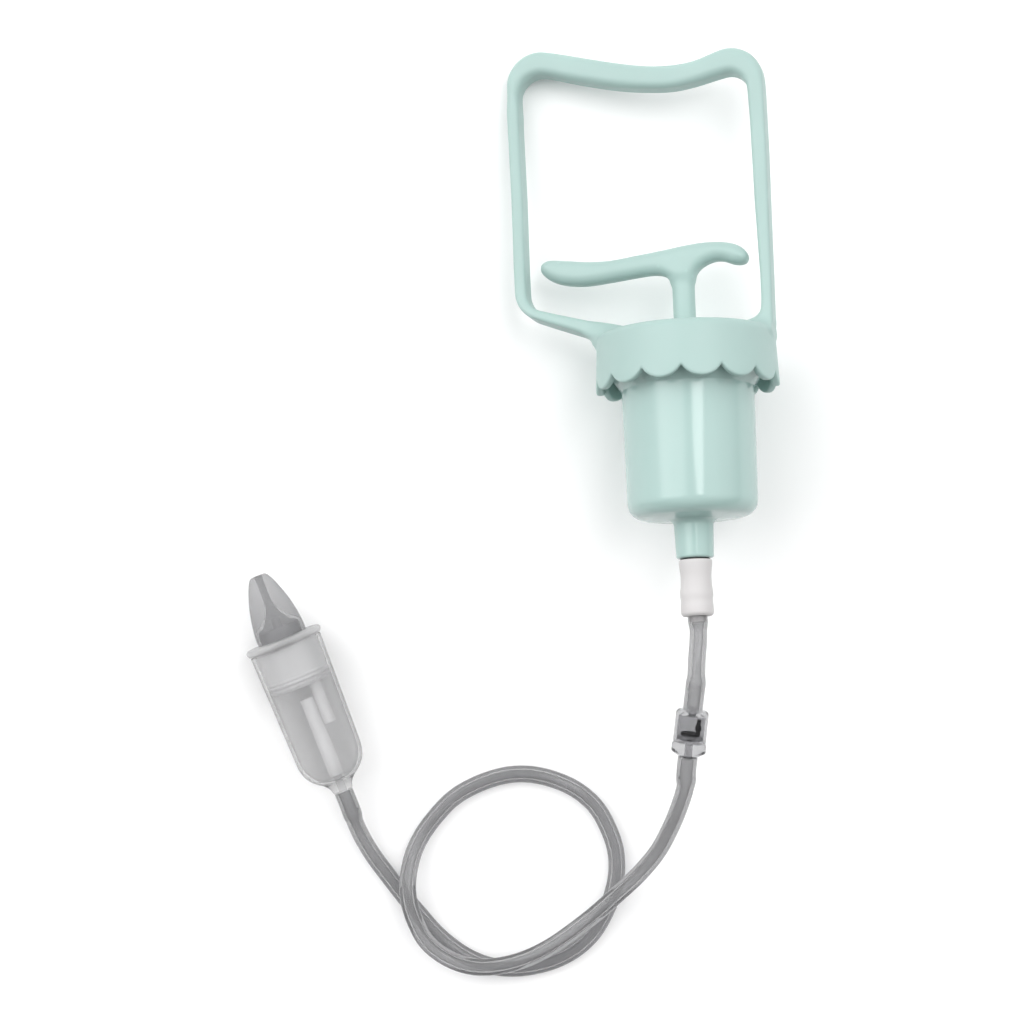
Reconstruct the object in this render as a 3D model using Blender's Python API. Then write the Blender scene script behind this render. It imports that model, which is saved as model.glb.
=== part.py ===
"""Manual nasal aspirator: piston pump with a squeeze handle, check valve, hose,
collection cup and soft nose tip, lying on a table.  Metres, +Z up."""
import math

import bmesh
import bpy
from mathutils import Matrix, Vector

MM = 0.001

# ---- layout: where each group lies on the table (mm, degrees) -------------------
LAYOUT_SHIFT = (0.94, -31.48, 0.0)     # puts the origin under the middle of the rigid pieces
PUMP_AT = (59.5, 61.2, 30.52)          # centre of the collar's top face
PUMP_YAW, PUMP_PITCH, PUMP_ROLL = 1.97, -7.0, -14.4
VALVE_AT = (60.95, -66.9, 45.1)        # middle of the valve's entry face
VALVE_YAW, VALVE_PITCH = -5.5, 7.0
CUP_AT = (-80.1, -44.4, 13.9)          # middle of the cup's mouth
CUP_YAW, CUP_PITCH, CUP_ROLL = 21.5, 2.49, -14.0

# ---- pump (mm): x across, y along the axis towards the handle, z to the front ---
COLLAR_R = 31.0
COLLAR_WALL = 2.3
COLLAR_TOP = 2.6                       # thickness of the collar's top wall
COLLAR_ROUND = 2.7
SKIRT_CUSP_Y = -15.9                   # height of the notches between scallops
SCALLOPS = 14
SCALLOP_STEPS = 6                      # facets per scallop
SCALLOP_DEEP = 4.0
SCALLOP_TURN = 6.2                     # turns the scallops relative to the loop
GUIDE_HOLE_R = 7.3
LOOP_HALF = 4.8                        # half of the loop's front-to-back thickness
LOOP_EDGE = 1.7
ROD_R = 3.85
GRIP_HALF = 4.6
GRIP_EDGE = 2.9
BARREL_BORE_R = 20.8
BARREL_BASE_Y = -63.3
NOZZLE_END_Y = -77.6
NOZZLE_BORE_R = 2.7
PISTON_TOP_Y = -50.7
PISTON_DEEP = 8.0
PISTON_R = 20.2
FLAP_OFF = 13.5                        # flap centre, off the pump's axis
SPRING_R = 8.5
SPRING_WIRE_R = 0.6
SPRING_TURNS = 8.0
SPRING_LOW_Y = -49.75
SPRING_HIGH_Y = -6.35
CONNECTOR_END_Y = -97.2
CLEAR = 0.3

# ---- hose (mm) -----------------------------------------------------------------
HOSE_R = 3.0

# ---- check valve (mm): y runs against the flow, entry face at 0 -----------------
VALVE_R = 5.6
VALVE_BODY_LEN = 10.7
VALVE_CAP_R = 5.8
VALVE_CAP_LEN = 4.9
STEM_OFF = 2.4                         # the disc's stem, off the valve's axis

# ---- cup (mm): y along the axis towards the nose tip, mouth at 0 ----------------
CUP_WALL = 1.3
DRIP_OFF = 5.0

# ---- facets --------------------------------------------------------------------
SEG_BIG = 40
SEG_MID = 32
SEG_SMALL = 20

# ---- colours: r, g, b, roughness -------------------------------------------------
MINT = (0.52, 0.76, 0.70, 0.38)
MINT_GLOSS = (0.50, 0.75, 0.69, 0.16)
WHITE = (0.82, 0.83, 0.84, 0.45)
CLEAR_GREY = (0.50, 0.53, 0.57, 0.22)
SMOKE = (0.42, 0.45, 0.50, 0.35)
SILICONE = (0.45, 0.46, 0.50, 0.40)
BLACK_RUBBER = (0.02, 0.02, 0.02, 0.60)
PALE_RUBBER = (0.66, 0.68, 0.70, 0.60)
POM = (0.86, 0.86, 0.84, 0.35)
STEEL = (0.62, 0.62, 0.62, 0.25)


for old in list(bpy.data.objects):
    bpy.data.objects.remove(old, do_unlink=True)


def material(name, look, metallic=0.0):
    mat = bpy.data.materials.new(name)
    mat.use_nodes = True
    shader = mat.node_tree.nodes["Principled BSDF"]
    shader.inputs["Base Color"].default_value = (look[0], look[1], look[2], 1.0)
    shader.inputs["Roughness"].default_value = look[3]
    shader.inputs["Metallic"].default_value = metallic
    mat.diffuse_color = (look[0], look[1], look[2], 1.0)
    return mat


def empty(name, at, turn=(0.0, 0.0, 0.0), parent=None):
    """A frame: turn is (yaw, pitch, roll) about Z, X and Y in degrees."""
    frame = bpy.data.objects.new(name, None)
    bpy.context.collection.objects.link(frame)
    frame.location = [v * MM for v in at]
    frame.rotation_mode = "YXZ"
    frame.rotation_euler = (math.radians(turn[1]), math.radians(turn[2]), math.radians(turn[0]))
    frame.parent = parent
    return frame


def finish_mesh(name, bm, mat, parent, at=(0.0, 0.0, 0.0), sharp=35.0):
    bmesh.ops.remove_doubles(bm, verts=bm.verts[:], dist=0.00001)
    bmesh.ops.recalc_face_normals(bm, faces=bm.faces[:])
    mesh = bpy.data.meshes.new(name)
    bm.to_mesh(mesh)
    bm.free()
    mesh.materials.append(mat)
    for face in mesh.polygons:
        face.use_smooth = True
    mesh.set_sharp_from_angle(angle=math.radians(sharp))
    obj = bpy.data.objects.new(name, mesh)
    bpy.context.collection.objects.link(obj)
    obj.location = [v * MM for v in at]
    obj.parent = parent
    return obj


def arc(cx, cy, r, start, end, steps):
    """Points on an arc, angles in degrees."""
    out = []
    for k in range(steps + 1):
        a = math.radians(start + (end - start) * k / steps)
        out.append((cx + r * math.cos(a), cy + r * math.sin(a)))
    return out


def spun(profile, steps, closed=True):
    """Mesh turned about Y from (radius, y) points in mm."""
    bm = bmesh.new()
    verts = [bm.verts.new((r * MM, y * MM, 0.0)) for r, y in profile]
    edges = [bm.edges.new((a, b)) for a, b in zip(verts, verts[1:])]
    if closed:
        edges.append(bm.edges.new((verts[-1], verts[0])))
    bmesh.ops.spin(
        bm, geom=verts + edges, cent=(0, 0, 0), axis=(0, 1, 0), dvec=(0, 0, 0),
        angle=math.tau, steps=steps, use_merge=True, use_duplicate=False,
    )
    return bm


def turned(name, profile, steps, mat, parent, closed=True, at=(0.0, 0.0, 0.0)):
    return finish_mesh(name, spun(profile, steps, closed), mat, parent, at)


def plate(outline, half, edge, segments=2, square_below=-99.0):
    """Outline in x, y (mm) made into a plate with rounded rims, square near its root."""
    bm = bmesh.new()
    low = [bm.verts.new((x * MM, y * MM, -half * MM)) for x, y in outline]
    bm.faces.new(low)
    lifted = bmesh.ops.extrude_face_region(bm, geom=bm.faces[:])
    moved = [v for v in lifted["geom"] if isinstance(v, bmesh.types.BMVert)]
    bmesh.ops.translate(bm, verts=moved, vec=(0.0, 0.0, 2.0 * half * MM))
    rims = [
        e for e in bm.edges
        if abs(e.verts[0].co.z - e.verts[1].co.z) < 1e-6
        and max(v.co.y for v in e.verts) > square_below * MM
    ]
    bmesh.ops.bevel(
        bm, geom=rims, offset=edge * MM, segments=segments, profile=0.5, affect="EDGES",
        clamp_overlap=False,
    )
    return bm


def through(points, per=3):
    """Smooth open curve through the points, centripetal, a few steps per span."""
    pts = [Vector(p) for p in points]
    pts = [pts[0] * 2 - pts[1]] + pts + [pts[-1] * 2 - pts[-2]]
    out = []
    for k in range(1, len(pts) - 2):
        p0, p1, p2, p3 = pts[k - 1:k + 3]
        t0 = 0.0
        t1 = t0 + (p1 - p0).length ** 0.5
        t2 = t1 + (p2 - p1).length ** 0.5
        t3 = t2 + (p3 - p2).length ** 0.5
        for s in range(per):
            t = t1 + (t2 - t1) * s / per
            a1 = p0 * ((t1 - t) / (t1 - t0)) + p1 * ((t - t0) / (t1 - t0))
            a2 = p1 * ((t2 - t) / (t2 - t1)) + p2 * ((t - t1) / (t2 - t1))
            a3 = p2 * ((t3 - t) / (t3 - t2)) + p3 * ((t - t2) / (t3 - t2))
            b1 = a1 * ((t2 - t) / (t2 - t0)) + a2 * ((t - t0) / (t2 - t0))
            b2 = a2 * ((t3 - t) / (t3 - t1)) + a3 * ((t - t1) / (t3 - t1))
            out.append(b1 * ((t2 - t) / (t2 - t1)) + b2 * ((t - t1) / (t2 - t1)))
    out.append(pts[-2])
    return out


def evenly(points, count):
    """The same curve read at evenly spaced lengths."""
    run = [0.0]
    for a, b in zip(points, points[1:]):
        run.append(run[-1] + (b - a).length)
    out = []
    k = 0
    for i in range(count):
        want = run[-1] * i / (count - 1)
        while k < len(run) - 2 and run[k + 1] < want:
            k += 1
        share = (want - run[k]) / (run[k + 1] - run[k])
        out.append(points[k].lerp(points[k + 1], share))
    return out


def tube(name, points, radius, mat, parent, resolution=2):
    """Round tube with closed ends along points in mm."""
    curve = bpy.data.curves.new(name, "CURVE")
    curve.dimensions = "3D"
    curve.bevel_depth = radius * MM
    curve.bevel_resolution = resolution
    curve.use_fill_caps = True
    line = curve.splines.new("POLY")
    line.points.add(len(points) - 1)
    for spot, p in zip(line.points, points):
        spot.co = (p[0] * MM, p[1] * MM, p[2] * MM, 1.0)
    curve.materials.append(mat)
    obj = bpy.data.objects.new(name, curve)
    bpy.context.collection.objects.link(obj)
    obj.parent = parent
    return obj


def joined(name, base, tool, operation, sharp=35.0):
    """Exact boolean of two objects, kept as one mesh on the first."""
    mod = base.modifiers.new("combine", "BOOLEAN")
    mod.operation = operation
    mod.solver = "EXACT"
    mod.object = tool
    tool.hide_render = True
    tool.display_type = "WIRE"
    bpy.context.view_layer.update()
    graph = bpy.context.evaluated_depsgraph_get()
    mesh = bpy.data.meshes.new_from_object(base.evaluated_get(graph))
    base.modifiers.clear()
    base.data = mesh
    base.data.name = name
    bpy.data.objects.remove(tool, do_unlink=True)
    mesh.set_sharp_from_angle(angle=math.radians(sharp))
    return base


mint = material("mint_satin", MINT)
mint_gloss = material("mint_gloss", MINT_GLOSS)
white = material("white_plastic", WHITE)
clear_grey = material("clear_grey_plastic", CLEAR_GREY)
smoke = material("smoke_silicone", SMOKE)
silicone = material("hose_silicone", SILICONE)
black_rubber = material("black_rubber", BLACK_RUBBER)
pale_rubber = material("pale_rubber", PALE_RUBBER)
pom = material("acetal", POM)
steel = material("spring_steel", STEEL, 1.0)

layout = empty("layout", LAYOUT_SHIFT)
pump = empty("pump_frame", PUMP_AT, (PUMP_YAW, PUMP_PITCH, PUMP_ROLL), layout)
valve = empty("valve_frame", VALVE_AT, (VALVE_YAW, VALVE_PITCH, 0.0), layout)
cup = empty("cup_frame", CUP_AT, (CUP_YAW, CUP_PITCH, CUP_ROLL), layout)


# ---- handle: scalloped collar and squeeze loop, one moulding ---------------------
def scallop_drop(angle):
    """How far the skirt's rim hangs below the notches at this angle (mm)."""
    pitch_angle = math.tau / SCALLOPS
    half_chord = COLLAR_R * math.sin(pitch_angle / 2.0)
    radius = (half_chord ** 2 + SCALLOP_DEEP ** 2) / (2.0 * SCALLOP_DEEP)
    along = (angle - math.radians(SCALLOP_TURN)) % pitch_angle
    across = (along / pitch_angle - 0.5) * 2.0 * half_chord
    return math.sqrt(max(radius ** 2 - across ** 2, 0.0)) - (radius - SCALLOP_DEEP)


collar_in = COLLAR_R - COLLAR_WALL
collar_profile = [(GUIDE_HOLE_R, 0.0)]
collar_profile += arc(COLLAR_R - COLLAR_ROUND, -COLLAR_ROUND, COLLAR_ROUND, 90.0, 0.0, 3)
collar_profile += [
    (COLLAR_R, SKIRT_CUSP_Y),
    (collar_in, SKIRT_CUSP_Y),
    (collar_in, -COLLAR_TOP),
    (GUIDE_HOLE_R, -COLLAR_TOP),
]
collar_bm = spun(collar_profile, SCALLOPS * SCALLOP_STEPS)
bmesh.ops.rotate(
    collar_bm, verts=collar_bm.verts[:], cent=(0, 0, 0),
    matrix=Matrix.Rotation(-math.radians(SCALLOP_TURN), 3, "Y"),
)
for vert in collar_bm.verts:
    if vert.co.y < (SKIRT_CUSP_Y + 0.01) * MM:
        vert.co.y -= scallop_drop(math.atan2(vert.co.z, vert.co.x)) * MM
handle = finish_mesh("handle_frame", collar_bm, mint, pump)

loop_outline = [(30.9, -2.2), (30.9, 2.0)]
loop_outline += arc(19.3, 85.9, 11.7, 0.0, 112.0, 7)
loop_outline += [(7.0, 94.8), (-0.6, 94.2), (-9.0, 94.8), (-20.0, 97.1), (-33.0, 100.6)]
loop_outline += arc(-47.8, 92.4, 11.7, 76.0, 180.0, 7)
loop_outline += [(-59.0, 52.0)]
loop_outline += arc(-47.4, 19.0, 11.5, 180.0, 252.0, 5)
loop_outline += [(-36.5, 3.1), (-33.0, 1.9), (-31.6, 0.2), (-31.0, -2.2)]
loop_outline += [(-17.0, -2.2), (-17.0, 0.3), (-22.5, 2.8), (-29.0, 5.0)]
loop_outline += arc(-47.5, 18.2, 7.3, 254.0, 180.0, 5)
loop_outline += [(-54.9, 52.0)]
loop_outline += arc(-47.7, 88.1, 7.5, 180.0, 77.0, 5)
loop_outline += [(-34.0, 91.8), (-20.0, 88.2), (-9.0, 86.6), (-1.0, 86.1), (7.0, 86.9)]
loop_outline += arc(18.9, 82.2, 6.9, 104.0, 0.0, 5)
loop_outline += [(26.5, 42.0), (27.2, 9.0), (26.6, 5.0), (24.4, 2.6), (20.0, 1.2), (15.0, 0.3)]
loop_outline += [(15.0, -2.2)]
loop = finish_mesh("loop_blank", plate(loop_outline, LOOP_HALF, LOOP_EDGE, 2, -2.0),
                   mint, pump)
joined("handle_frame", handle, loop, "UNION")

# ---- rod guide pressed in the collar, gasket under it -----------------------------
turned("rod_guide_bush", [
    (ROD_R + CLEAR, 0.5), (6.6, 0.5), (7.0, 0.1), (7.0, -COLLAR_TOP - CLEAR),
    (9.6, -COLLAR_TOP - CLEAR), (9.6, -4.4), (ROD_R + CLEAR, -4.4),
], SEG_SMALL, pom, pump)
turned("spring_washer", [
    (5.2, -4.7), (10.2, -4.7), (10.2, -5.4), (5.2, -5.4),
], SEG_SMALL, steel, pump)
turned("collar_gasket", [
    (21.4, -2.9), (27.6, -2.9), (27.6, -4.3), (21.4, -4.3),
], SEG_BIG, pale_rubber, pump)

# ---- barrel with flared shoulder and nozzle ---------------------------------------
barrel_profile = [(BARREL_BORE_R, -4.6), (27.9, -4.6), (28.2, -5.0), (28.2, -13.0)]
barrel_profile += [(26.9, -15.0), (25.0, -16.5), (23.5, -18.1), (22.6, -20.4)]
barrel_profile += arc(18.0, BARREL_BASE_Y + 4.2, 4.2, 0.0, -90.0, 4)
barrel_profile += [(7.6, BARREL_BASE_Y), (6.7, BARREL_BASE_Y - 0.8), (6.4, NOZZLE_END_Y + 1.0)]
barrel_profile += [(5.6, NOZZLE_END_Y), (NOZZLE_BORE_R, NOZZLE_END_Y)]
barrel_profile += [(NOZZLE_BORE_R, BARREL_BASE_Y + 2.0), (18.4, BARREL_BASE_Y + 2.0)]
barrel_profile += [(BARREL_BORE_R, BARREL_BASE_Y + 4.2)]
turned("pump_barrel", barrel_profile, SEG_BIG, mint_gloss, pump)

# ---- plunger: wavy finger bar and rod, one moulding --------------------------------
rod_low = PISTON_TOP_Y + CLEAR
rod_profile = [(0.0, 25.0), (ROD_R, 25.0), (ROD_R, rod_low), (1.8, rod_low)]
rod_profile += [(1.8, rod_low + 13.0), (0.0, rod_low + 13.0)]
plunger = turned("plunger", rod_profile, SEG_SMALL, mint, pump, closed=False)
grip_outline = [(-47.3, 29.2), (-41.0, 28.7), (-32.6, 27.6), (-25.0, 27.4), (-16.0, 28.3)]
grip_outline += [(-6.0, 29.4), (2.7, 30.5), (9.2, 30.8), (15.6, 30.2), (19.6, 28.9)]
grip_outline += [(22.2, 26.8), (23.0, 24.8), (22.2, 23.0), (20.4, 22.4), (17.6, 22.8)]
grip_outline += [(14.6, 24.0), (11.6, 24.4), (8.8, 23.8), (6.3, 22.2), (4.6, 19.8)]
grip_outline += [(3.8, 16.5), (-3.8, 16.5), (-5.4, 18.9), (-7.4, 20.6), (-10.8, 21.3)]
grip_outline += [(-17.0, 20.9), (-25.5, 20.1), (-33.0, 19.6), (-38.5, 19.9), (-43.4, 21.0)]
grip_outline += [(-47.3, 22.9), (-49.6, 25.4), (-49.5, 27.8)]
grip = finish_mesh("grip_blank", plate(grip_outline, GRIP_HALF, GRIP_EDGE), mint, pump)
joined("plunger", plunger, grip, "UNION")

# ---- piston, its seal, screw and exhaust flap, measured down from the piston's top ---
piston_at = (0.0, PISTON_TOP_Y, 0.0)
piston = turned("piston_head", [
    (1.8, 0.0), (PISTON_R, 0.0), (PISTON_R, -2.2), (18.2, -2.2), (18.2, -5.8),
    (PISTON_R, -5.8), (PISTON_R, -PISTON_DEEP), (3.8, -PISTON_DEEP), (3.8, -4.8), (1.8, -4.8),
], SEG_MID, pom, pump, at=piston_at)
flap_at = (0.0, PISTON_TOP_Y, FLAP_OFF)
flap_hole = turned("flap_hole", [
    (0.0, 3.0), (1.5, 3.0), (1.5, -12.0), (0.0, -12.0),
], 12, pom, pump, closed=False, at=flap_at)
joined("piston_head", piston, flap_hole, "DIFFERENCE")
turned("piston_seal", [
    (18.5, -2.5), (20.0, -2.5), (20.5, -3.2), (20.5, -4.8), (20.0, -5.5), (18.5, -5.5),
], SEG_BIG, black_rubber, pump, at=piston_at)
turned("piston_screw", [
    (0.0, 11.0), (1.45, 10.4), (1.45, -5.1), (3.3, -5.1), (3.3, -6.6), (2.6, -7.4),
    (0.0, -7.4),
], 16, steel, pump, closed=False, at=piston_at)
turned("exhaust_flap", [
    (0.0, 1.2), (2.4, 1.1), (3.7, 0.7), (3.7, CLEAR), (1.15, CLEAR), (1.15, -8.4), (0.8, -9.0),
    (0.0, -9.0),
], 16, black_rubber, pump, closed=False, at=flap_at)

# ---- return spring around the rod ----------------------------------------------------
spring_points = []
steps_per_turn = 10
spring_steps = int(SPRING_TURNS * steps_per_turn)
for k in range(spring_steps + 1):
    share = k / spring_steps
    dead = 1.0 / SPRING_TURNS
    ramp = min(max((share - dead) / (1.0 - 2.0 * dead), 0.0), 1.0)
    lift = ramp * (SPRING_HIGH_Y - SPRING_LOW_Y - 4.2 * SPRING_WIRE_R)
    lift += SPRING_WIRE_R * 2.1 * min(share / dead, 1.0)
    lift += SPRING_WIRE_R * 2.1 * max((share - 1.0 + dead) / dead, 0.0)
    turn = math.tau * k / steps_per_turn
    spring_points.append((
        SPRING_R * math.cos(turn), SPRING_LOW_Y + lift, SPRING_R * math.sin(turn),
    ))
tube("return_spring", spring_points, SPRING_WIRE_R, steel, pump, resolution=1)

# ---- hose connector plugged in the nozzle ----------------------------------------------
turned("nozzle_washer", [
    (3.0, NOZZLE_END_Y - 0.3), (5.2, NOZZLE_END_Y - 0.3), (5.2, NOZZLE_END_Y - 0.9),
    (3.0, NOZZLE_END_Y - 0.9),
], SEG_SMALL, black_rubber, pump)
connector_top = NOZZLE_END_Y - 1.2
turned("hose_connector", [
    (1.3, NOZZLE_END_Y + 7.0), (2.35, NOZZLE_END_Y + 7.0), (2.35, connector_top),
    (5.2, connector_top), (5.55, connector_top - 0.5), (5.5, connector_top - 1.8),
    (5.3, connector_top - 4.6), (5.4, connector_top - 8.0), (5.55, connector_top - 11.5),
    (5.6, connector_top - 15.5), (5.4, CONNECTOR_END_Y + 0.8), (4.7, CONNECTOR_END_Y),
    (1.3, CONNECTOR_END_Y),
], SEG_SMALL, white, pump)

# ---- check valve -----------------------------------------------------------------------
body_end = -VALVE_BODY_LEN
turned("valve_body", [
    (1.2, 0.0), (4.9, 0.0), (5.5, -0.6), (VALVE_R, -5.0), (VALVE_R, body_end),
    (VALVE_R - 1.0, body_end), (VALVE_R - 1.0, -1.4), (1.2, -1.4),
], SEG_SMALL, clear_grey, valve)
seat = turned("valve_seat", [
    (1.1, -8.7), (4.3, -8.7), (4.3, -9.9), (1.1, -9.9),
], SEG_SMALL, clear_grey, valve)
seat_hole = turned("seat_hole", [
    (0.0, -7.0), (0.7, -7.0), (0.7, -12.0), (0.0, -12.0),
], 8, clear_grey, valve, closed=False, at=(-2.6, 0.0, 0.0))
joined("valve_seat", seat, seat_hole, "DIFFERENCE")
disc = turned("valve_disc", [
    (0.0, -7.6), (2.6, -7.6), (3.2, -8.0), (3.2, -8.4), (0.8, -8.4), (0.8, -10.0), (0.0, -10.0),
], 20, black_rubber, valve, closed=False)
stem = turned("disc_stem", [
    (0.0, -2.9), (0.7, -3.1), (0.7, -5.0), (1.0, -5.6), (1.0, -6.8), (0.7, -7.2), (0.7, -8.0),
    (0.0, -8.0),
], 12, black_rubber, valve, closed=False, at=(STEM_OFF, 0.0, 0.0))
joined("valve_disc", disc, stem, "UNION")
cap_start = body_end - CLEAR
cap_end = cap_start - VALVE_CAP_LEN
turned("valve_cap", [
    (1.2, cap_start), (VALVE_CAP_R, cap_start), (VALVE_CAP_R, cap_start - 3.3),
    (4.2, cap_end), (1.2, cap_end),
], SEG_SMALL, clear_grey, valve)

# ---- collection cup, stopper, drip tube and nose tip ---------------------------------------
turned("collection_cup", [
    (12.95 - CUP_WALL, -2.3), (12.95, -2.3), (12.0, -42.0), (11.8, -44.8), (11.2, -47.2),
    (9.9, -49.6), (7.6, -52.0), (5.0, -54.0), (3.9, -55.4), (3.3, -57.2), (1.3, -57.2),
    (1.3, -22.4), (2.45, -22.4), (2.6, -51.4), (4.6, -52.0), (7.6, -50.2), (9.9, -47.0),
    (10.6, -42.0),
], SEG_MID, clear_grey, cup)
stopper = turned("cup_stopper", [
    (0.0, 0.0), (6.4, 0.0), (6.4, 4.6), (7.1, 4.6), (7.2, 0.3), (13.6, 0.3), (13.85, 0.0),
    (13.85, -1.7), (13.6, -2.0), (11.2, -2.0), (11.1, -6.0), (10.6, -13.0), (10.95, -13.8),
    (10.5, -14.6), (10.9, -15.4), (10.5, -16.2), (10.8, -16.9), (10.0, -17.5), (8.9, -17.5),
    (9.3, -4.2), (0.0, -4.2),
], SEG_MID, clear_grey, cup, closed=False)
drip_hole = turned("drip_hole", [
    (0.0, 2.0), (1.2, 2.0), (1.2, -1.5), (2.4, -1.5), (2.4, -6.0), (0.0, -6.0),
], 16, clear_grey, cup, closed=False, at=(DRIP_OFF, 0.0, 0.0))
joined("cup_stopper", stopper, drip_hole, "DIFFERENCE")
turned("drip_tube", [
    (1.2, -1.8), (2.1, -1.8), (2.1, -33.0), (1.2, -33.0),
], 16, clear_grey, cup, at=(DRIP_OFF, 0.0, 0.0))
turned("nose_tip", [
    (7.5, 0.6), (8.75, 0.6), (8.85, 2.5), (8.5, 6.0), (7.85, 10.0), (6.95, 14.0), (5.5, 18.0),
    (4.6, 20.6), (3.6, 22.6), (2.4, 23.8), (1.2, 23.8), (1.2, 12.0), (3.2, 8.6), (7.5, 5.0),
], SEG_MID, smoke, cup)


# ---- hoses ------------------------------------------------------------------------------------
def placed(at, turn, y):
    """Point on a frame's Y axis and the direction away from it, both in the layout."""
    turned_by = (
        Matrix.Rotation(math.radians(turn[0]), 3, "Z")
        @ Matrix.Rotation(math.radians(turn[1]), 3, "X")
    )
    down = turned_by @ Vector((0.0, -1.0, 0.0))
    return Vector(at) - down * y, down


connector_face, connector_way = placed(PUMP_AT, (PUMP_YAW, PUMP_PITCH), CONNECTOR_END_Y - CLEAR)
valve_entry, valve_way = placed(VALVE_AT, (VALVE_YAW, VALVE_PITCH), CLEAR)
valve_exit, valve_way = placed(VALVE_AT, (VALVE_YAW, VALVE_PITCH), cap_end - CLEAR)
cup_outlet, cup_way = placed(CUP_AT, (CUP_YAW, CUP_PITCH), -57.2 - CLEAR)

pump_hose_route = [
    connector_face,
    connector_face + connector_way * 6.0,
    (62.3, -50.0, 45.5),
    (62.0, -57.0, 45.9),
    valve_entry - valve_way * 4.0,
    valve_entry,
]
tube("pump_hose", evenly(through(pump_hose_route, 4), 9), HOSE_R, silicone, layout)

cup_hose_route = [
    valve_exit,
    valve_exit + valve_way * 5.0,
    # falls to the table in an easy curve
    (58.8, -92.5, 41.4), (56.9, -100.7, 36.0), (54.2, -109.0, 29.0), (50.4, -117.7, 21.6),
    (44.3, -126.3, 15.4), (37.2, -133.7, 11.6),
    # lies over the other end of the same hose
    (27.4, -142.6, 10.0), (14.1, -152.3, 9.8), (5.6, -156.6, 9.8), (-2.5, -159.0, 9.9),
    (-11.0, -159.8, 9.9), (-18.0, -158.6, 9.8), (-24.8, -155.3, 9.8), (-30.4, -150.3, 9.9),
    (-33.9, -143.8, 9.9), (-36.0, -137.5, 9.8), (-36.7, -131.1, 8.8),
    # round the loop, flat on the table
    (-35.3, -122.1, 5.4), (-32.2, -114.9, 3.6), (-27.2, -107.9, 3.1), (-20.2, -100.8, 3.1),
    (-11.3, -95.9, 3.1), (-2.5, -93.2, 3.1), (5.0, -92.7, 3.1), (13.4, -94.2, 3.1),
    (22.3, -98.0, 3.1), (29.4, -104.0, 3.1), (34.0, -111.8, 3.1), (36.6, -119.6, 3.1),
    (37.0, -127.5, 3.1), (35.4, -135.5, 3.1), (32.5, -142.6, 3.1), (28.3, -149.3, 3.1),
    (22.5, -154.6, 3.1), (14.9, -158.6, 3.1), (6.0, -160.9, 3.1), (-2.5, -161.3, 3.1),
    (-9.8, -159.9, 3.1), (-16.4, -157.0, 3.1), (-22.5, -152.8, 3.1), (-27.6, -148.2, 3.1),
    (-32.5, -142.6, 3.1), (-37.9, -136.2, 3.1), (-43.8, -128.6, 3.2),
    # up to the cup's outlet
    (-49.8, -120.1, 4.7), (-54.2, -111.6, 7.4),
    cup_outlet + cup_way * 6.0,
    cup_outlet,
]
tube("cup_hose", evenly(through(cup_hose_route, 4), 68), HOSE_R, silicone, layout)
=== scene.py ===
"""Looks of a manual nasal aspirator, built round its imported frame.

Everything placed in the scene is in metres, +Z up.  Shapes are drawn in mm in the
pump's, the valve's or the cup's own axes: y along the axis, x across, z to the front.
"""
import math

import bmesh
import bpy
import numpy as np
from mathutils import Matrix, Vector


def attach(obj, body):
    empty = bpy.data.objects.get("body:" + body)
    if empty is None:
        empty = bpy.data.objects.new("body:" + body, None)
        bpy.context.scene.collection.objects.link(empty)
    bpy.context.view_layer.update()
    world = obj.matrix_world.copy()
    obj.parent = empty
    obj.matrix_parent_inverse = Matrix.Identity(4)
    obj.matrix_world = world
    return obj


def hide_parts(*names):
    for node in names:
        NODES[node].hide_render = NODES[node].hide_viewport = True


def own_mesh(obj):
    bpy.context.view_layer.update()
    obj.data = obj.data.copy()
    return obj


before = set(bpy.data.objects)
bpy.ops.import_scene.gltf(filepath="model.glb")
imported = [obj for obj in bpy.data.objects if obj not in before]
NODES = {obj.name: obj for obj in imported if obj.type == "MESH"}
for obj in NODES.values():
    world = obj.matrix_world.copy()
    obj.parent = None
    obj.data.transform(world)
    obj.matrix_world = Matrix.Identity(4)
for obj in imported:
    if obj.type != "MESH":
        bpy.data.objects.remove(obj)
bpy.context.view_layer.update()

MM = 0.001

# ---- the three groups' places, as in the CAD (mm, degrees) ------------------------
LAYOUT_SHIFT = (0.94, -31.48, 0.0)
PUMP_AT, PUMP_TURN = (59.5, 61.2, 30.52), (1.97, -7.0, -14.4)
VALVE_AT, VALVE_TURN = (60.95, -66.9, 45.1), (-5.5, 7.0, 0.0)
CUP_AT, CUP_TURN = (-80.1, -44.4, 13.9), (21.5, 2.49, -14.0)
CONNECTOR_END_Y = -97.2
VALVE_END_Y = -15.9
CUP_END_Y = -57.2
GAP = 0.3


def axes(at, turn):
    """Where a group's own axes stand in the scene, from its place and (yaw, pitch, roll)."""
    yaw, pitch, roll = (math.radians(a) for a in turn)
    spot = Matrix.Translation([(a + s) * MM for a, s in zip(at, LAYOUT_SHIFT)])
    return (spot @ Matrix.Rotation(yaw, 4, "Z") @ Matrix.Rotation(pitch, 4, "X")
            @ Matrix.Rotation(roll, 4, "Y"))


PUMP = axes(PUMP_AT, PUMP_TURN)
VALVE = axes(VALVE_AT, VALVE_TURN)
CUP = axes(CUP_AT, CUP_TURN)


# =========================== camera ================================================
CAMERA_AT = (0.00094, -0.03148, 0.9)
CAMERA_LENS = 89.13

camera_data = bpy.data.cameras.new("camera")
camera_data.lens = CAMERA_LENS
camera_data.sensor_width = 36.0
camera_data.clip_start = 0.01
camera = bpy.data.objects.new("camera", camera_data)
bpy.context.scene.collection.objects.link(camera)
camera.location = CAMERA_AT
bpy.context.scene.camera = camera


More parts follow.
